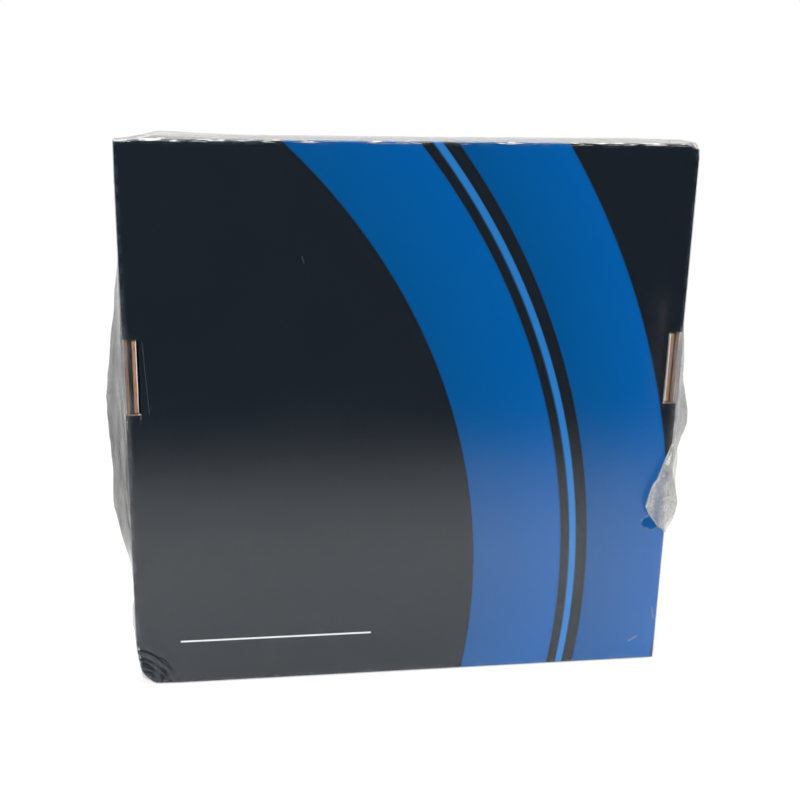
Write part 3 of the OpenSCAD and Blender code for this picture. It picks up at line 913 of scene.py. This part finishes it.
# Milkiness: haze of the film where it is slack or creased, and its tone, which is painted light and shade
milkiness = {
    "sides": (0.5, 0.45),  # haze left and right
    "sideFull": (3.2, 0.75),  # mm of slack where it is full, and how fast it comes
    "sideCrease": (14.0, 1.4, 0.3),  # mm, squeeze in depth and in height
    "sideRagged": (0.55, 0.9),
    "top": 0.2,
    "rightEdge": (0.25, 1.2),  # haze, and mm of lift where it is full
    "slots": (0.3, 0.42),  # over the lock slots, left and right
    "slotFade": (3.0, 7.0),  # mm up and down, mm in from the side
    "fringe": (0.12, 4.0, 5.0),  # along the front's left edge: haze, mm wide, mm of slack where it is full
    "streak": (0.03, 141.0, 4.0),  # one soft streak of haze on the front, a painted highlight: haze, x and half width
    "sheenSpan": (140.0, 250.0, 40.0),  # its ends and their fade
    "tones": (0.02, 0.31, 0.12, 0.38),  # painted light and shade of the milky film: left side, right side, right slot and top
}


def crumple(u, v, size, seed, folds=7):  # sharp creases that cross at random, 0 to 1
    pick = np.random.default_rng(seed)
    height = np.zeros_like(u)
    for _ in range(folds):
        angle, phase, stretch = pick.uniform(0, math.pi), pick.uniform(0, 1), pick.uniform(0.6, 1.7)
        bend = 0.25 * np.sin((v * math.cos(angle) - u * math.sin(angle)) / (size * 2.3) + phase * 9)
        run = (u * math.cos(angle) + v * math.sin(angle)) / (size * stretch) + phase + bend
        height += np.abs(2 * (run % 1) - 1)
    return height / folds


def gridLines(low, high, step, fineReach=0.0):
    edge = np.array(filmWrap["edgeLines"])
    start, end = low + edge[-1], high - edge[-1]
    turn = max(start, low + fineReach)
    close = np.arange(start, turn, filmWrap["fineGrid"])
    wide = np.linspace(turn, end, max(2, round((end - turn) / step) + 1))
    return np.concatenate([low + edge[:-1], close, wide, high - edge[-2::-1]])


def boxSkin(low, high):  # quads over a box, wound outwards
    lines = (
        gridLines(low[0], high[0], filmWrap["grid"], filmWrap["fineReach"]),
        gridLines(low[1], high[1], filmWrap["depthGrid"]),
        gridLines(low[2], high[2], filmWrap["grid"], filmWrap["fineReach"]),
    )
    index, points, faces = {}, [], []
    for axis in range(3):
        across, along = (axis + 1) % 3, (axis + 2) % 3
        for end in (0, len(lines[axis]) - 1):
            for a in range(len(lines[across]) - 1):
                for b in range(len(lines[along]) - 1):
                    quad = []
                    for da, db in ((0, 0), (1, 0), (1, 1), (0, 1)):
                        key = [0, 0, 0]
                        key[axis], key[across], key[along] = end, a + da, b + db
                        key = tuple(key)
                        if key not in index:
                            index[key] = len(points)
                            points.append([lines[i][key[i]] for i in range(3)])
                        quad.append(index[key])
                    faces.append(quad if end else quad[::-1])
    return np.array(points), faces


def standOff(profile, heights):  # profile runs down from the top
    table = np.array(profile[::-1], dtype=float)
    return np.interp(heights, table[:, 0], table[:, 1], left=0, right=0)


def foldOver(low, high):  # the fold's points and faces, with its haze and tone
    steps, rows = fold["grid"]
    heights = np.linspace(fold["reach"][0][0], fold["reach"][-1][0], rows)
    reach = standOff(fold["reach"], heights)
    lift = standOff(filmWrap["rightLift"], heights)
    bulge = standOff(filmWrap["rightSlack"], heights)
    pleatScale, fineScale = fold["pleats"]
    softWeight, pleatWeight, fineWeight = fold["weights"]
    riseLower, riseUpper = fold["rise"]
    rootOut, rootShare = fold["rootOut"]
    hazeAll, hazeCrease, hazeEdge = fold["haze"]
    toneAll, toneEdge = fold["tone"]
    points, faces, haze, tone = [], [], [], []
    for row in range(rows):
        full = min(1.0, reach[row] / fold["fullReach"])
        for step in range(steps):
            there = 1 - abs(2 * step / (steps - 1) - 1)  # 0 at both roots, 1 at the free edge
            outer = step > steps // 2
            spot = Vector((there * reach[row] / fold["wrinkle"], heights[row] / fold["wrinkle"],
                           filmWrap["seed"] + 3 * outer))
            soft = noise.noise(spot)
            pleat = 1 - abs(noise.noise(spot * pleatScale + Vector((0.3, 0.8, 0)))) * fold["crisp"]
            fine = 1 - abs(noise.noise(spot * fineScale)) * fold["crisp"]
            wrinkle = softWeight * soft + pleatWeight * pleat + fineWeight * fine
            swell = math.sin(math.pi * min(1, there * 0.86)) * full
            rise = lift[row] + fold["clear"] + (riseLower + riseUpper * outer) * swell
            root = rootOut + rootShare * bulge[row] * outer * (1 - there) * full
            points.append((
                high[0] + root - reach[row] * there ** 0.85,
                low[1] - max(fold["clear"], rise + fold["wrinkleHeight"] * wrinkle * there * full),
                heights[row] + soft * there * full,
            ))
            edge = max(0.0, (there - fold["edge"]) / (1 - fold["edge"]))
            haze.append(hazeAll + hazeCrease * (max(0.0, pleat) + max(0.0, fine)) + hazeEdge * edge)
            tone.append(toneAll + toneEdge * edge)
    for row in range(rows - 1):
        for step in range(steps - 1):
            a = row * steps + step
            faces.append((a, a + steps, a + steps + 1, a + 1))
        a, b = row * steps, row * steps + steps - 1
        faces.append((b, b + steps, a + steps, a))  # closed along its root
    return np.array(points), faces, np.array(haze), np.array(tone)


def skinNormals(points, faces):  # outward normals at the points
    a, b, c, d = np.array(faces).T
    flat = np.cross(points[c] - points[a], points[d] - points[b])
    normals = np.zeros_like(points)
    for column in (a, b, c, d):
        np.add.at(normals, column, flat)
    return normals / np.linalg.norm(normals, axis=1)[:, None]


def buildFilm():
    low = cartonLow - filmWrap["standOff"]
    high = cartonHigh + filmWrap["standOff"]
    sharp, faces = boxSkin(low, high)
    half = (high - low) / 2
    radius = filmWrap["cornerRadius"]
    core = np.clip(sharp - cartonMid, radius - half, half - radius)
    out = sharp - cartonMid - core
    out /= np.linalg.norm(out, axis=1)[:, None]
    points = cartonMid + core + radius * out
    x, y, z = points.T.copy()
    left = x < 0
    seed = filmWrap["seed"]

    # Slack at the sides: the film is drawn out to a crest that wanders up the side
    onSide = np.clip(np.abs(out[:, 0]) * 1.6 - 0.6, 0, 1)
    lift = np.where(left, standOff(filmWrap["leftSlack"], z), standOff(filmWrap["rightSlack"], z))
    ridges = []
    for name in ("leftRidge", "rightRidge"):
        depth, wander, height = filmWrap[name]
        ridges.append(depth + wander * np.sin(z / height + 1))
    ridge = np.where(left, *ridges)
    run = np.where(y < ridge, (y - low[1]) / (ridge - low[1]), (high[1] - y) / (high[1] - ridge))
    run = np.clip(run, 0, 1)
    size, drawn = filmWrap["sideCrease"]
    creases = crumple(y, z * drawn, size, seed)
    always, share = filmWrap["sideCrinkle"]
    slack = (lift * run ** 1.25 + (always + share * lift) * creases * run ** 0.5) * onSide
    points[:, 0] += np.sign(x) * slack

    # Off the front's right edge above the fold
    nearRight = np.clip(1 - (high[0] - x) / filmWrap["liftReach"], 0, 1) * ~left * (y < 0)
    edgeLift = standOff(filmWrap["rightLift"], z) * nearRight ** 1.5 * np.clip(-out[:, 1], 0, 1)
    points += out * edgeLift[:, None]

    # Top: a low bulge and short crinkles that reach the front edge
    onTop = np.clip(out[:, 2] * 1.5 - 0.5, 0, 1)
    inset = np.clip(np.minimum(y - low[1], high[1] - y) / filmWrap["topInset"], 0, 1)
    bulgeX, bulgeHalf, bulgeHigh = filmWrap["topBulge"]
    bulge = bulgeHigh * np.exp(-((x - bulgeX) / bulgeHalf) ** 2) * inset
    size, squeeze = filmWrap["topCrease"]
    crinkle = crumple(x, y * squeeze, size, seed + 1) ** 1.5
    always, more = filmWrap["topCrinkle"]
    points[:, 2] += onTop * ((always + more * inset) * crinkle + bulge)
    size, squeeze, height, reach = filmWrap["edgeCrease"]
    topEdge = np.clip(1 - np.abs(z - high[2]) / reach, 0, 1) * (y < 0)
    points[:, 1] -= topEdge * (1 - onTop) * height * crumple(x * squeeze, z, size, seed + 3)

    # Front and back: nearly tight, with faint creases that run in from the sides
    onFace = np.clip(np.abs(out[:, 1]) * 1.5 - 0.5, 0, 1)
    rimGap = np.minimum(high[0] - np.abs(x), np.minimum(z - low[2], high[2] - z))
    rim = np.clip(1 - rimGap / filmWrap["rimReach"], 0, 1)
    front, back, backRim = filmWrap["faceSlack"]
    tight = crumple(x, z, filmWrap["faceCrease"], seed + 2) * np.where(y < 0, front, back + backRim * rim)
    points[:, 1] += np.sign(y) * onFace * tight

    points = knockIn(points)
    points[:, 2] = np.maximum(points[:, 2], filmWrap["thickness"])

    # Milky where the film is slack, over the lock slots, along the front's edges and in one soft streak, a
    # painted highlight
    size, squeezeY, squeezeZ = milkiness["sideCrease"]
    always, more = milkiness["sideRagged"]
    ragged = always + more * crumple(y * squeezeY, z * squeezeZ, size, seed + 4)
    fullAt, rate = milkiness["sideFull"]
    loose = np.clip(slack * ragged / fullAt, 0, 1) ** rate
    slotLow, slotHigh = carton["slot"]
    fade, reach = milkiness["slotFade"]
    bySlot = np.clip(np.minimum(z - slotLow, slotHigh - z) / fade, 0, 1)
    bySlot = bySlot * np.clip(1 - (high[0] - np.abs(x)) / reach, 0, 1)
    fringeHaze, reach, fullAt = milkiness["fringe"]
    fringe = np.clip(1 - (x - low[0]) / reach, 0, 1) * np.clip(lift / fullAt, 0, 1) * left
    # Painted highlight: a soft upright streak of haze near the front's right edge
    streakHaze, sheenX, sheenHalf = milkiness["streak"]
    sheenLow, sheenHigh, fade = milkiness["sheenSpan"]
    streak = np.exp(-((x - sheenX) / sheenHalf) ** 2)
    streak = streak * np.clip(np.minimum(z - sheenLow, sheenHigh - z) / fade, 0, 1)
    edgeHaze, fullAt = milkiness["rightEdge"]
    haze = np.where(left, *milkiness["sides"]) * loose + milkiness["top"] * onTop * inset
    haze = haze + edgeHaze * np.clip(edgeLift / fullAt, 0, 1)
    onFront = onFace * (y < 0)
    slotHaze = np.where(left, *milkiness["slots"])
    haze += onFront * (slotHaze * bySlot + fringeHaze * fringe + streakHaze * streak)
    # Painted light and shade in the tone: dark on the left side, paler on the right side, its slot and the
    # top
    leftTone, rightTone, slotTone, topTone = milkiness["tones"]
    tone = np.where(left, leftTone, rightTone * loose + slotTone * bySlot) + topTone * onTop

    # Inner face of the film, and the fold with its own two faces
    inner = points - filmWrap["thickness"] * skinNormals(points, faces)
    foldPoints, foldFaces, foldHaze, foldTone = foldOver(low, high)
    start = len(points)
    faces += [[start + corner for corner in face[::-1]] for face in faces]
    faces += [[2 * start + corner for corner in face] for face in foldFaces]
    points = np.vstack([points, inner, foldPoints])
    haze = np.concatenate([haze, haze, foldHaze])
    tone = np.concatenate([tone, tone, foldTone])

    piece = meshPiece("clear_film", points * mm, faces, [clearFilm])
    for name, values in (("haze", haze), ("litShadedMilk", tone)):
        attribute = piece.data.attributes.new(name, "FLOAT", "POINT")
        attribute.data.foreach_set("value", values.astype(np.float32))
    shape = bmesh.new()
    shape.from_mesh(piece.data)
    bmesh.ops.remove_doubles(shape, verts=shape.verts, dist=0.001 * mm)  # closes the fold's two ends
    shape.to_mesh(piece.data)
    shape.free()
    piece.data.shade_smooth()
    return piece


film = buildFilm()
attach(film, "root")
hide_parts("film_wrap")
print("film:", len(film.data.polygons), "faces")
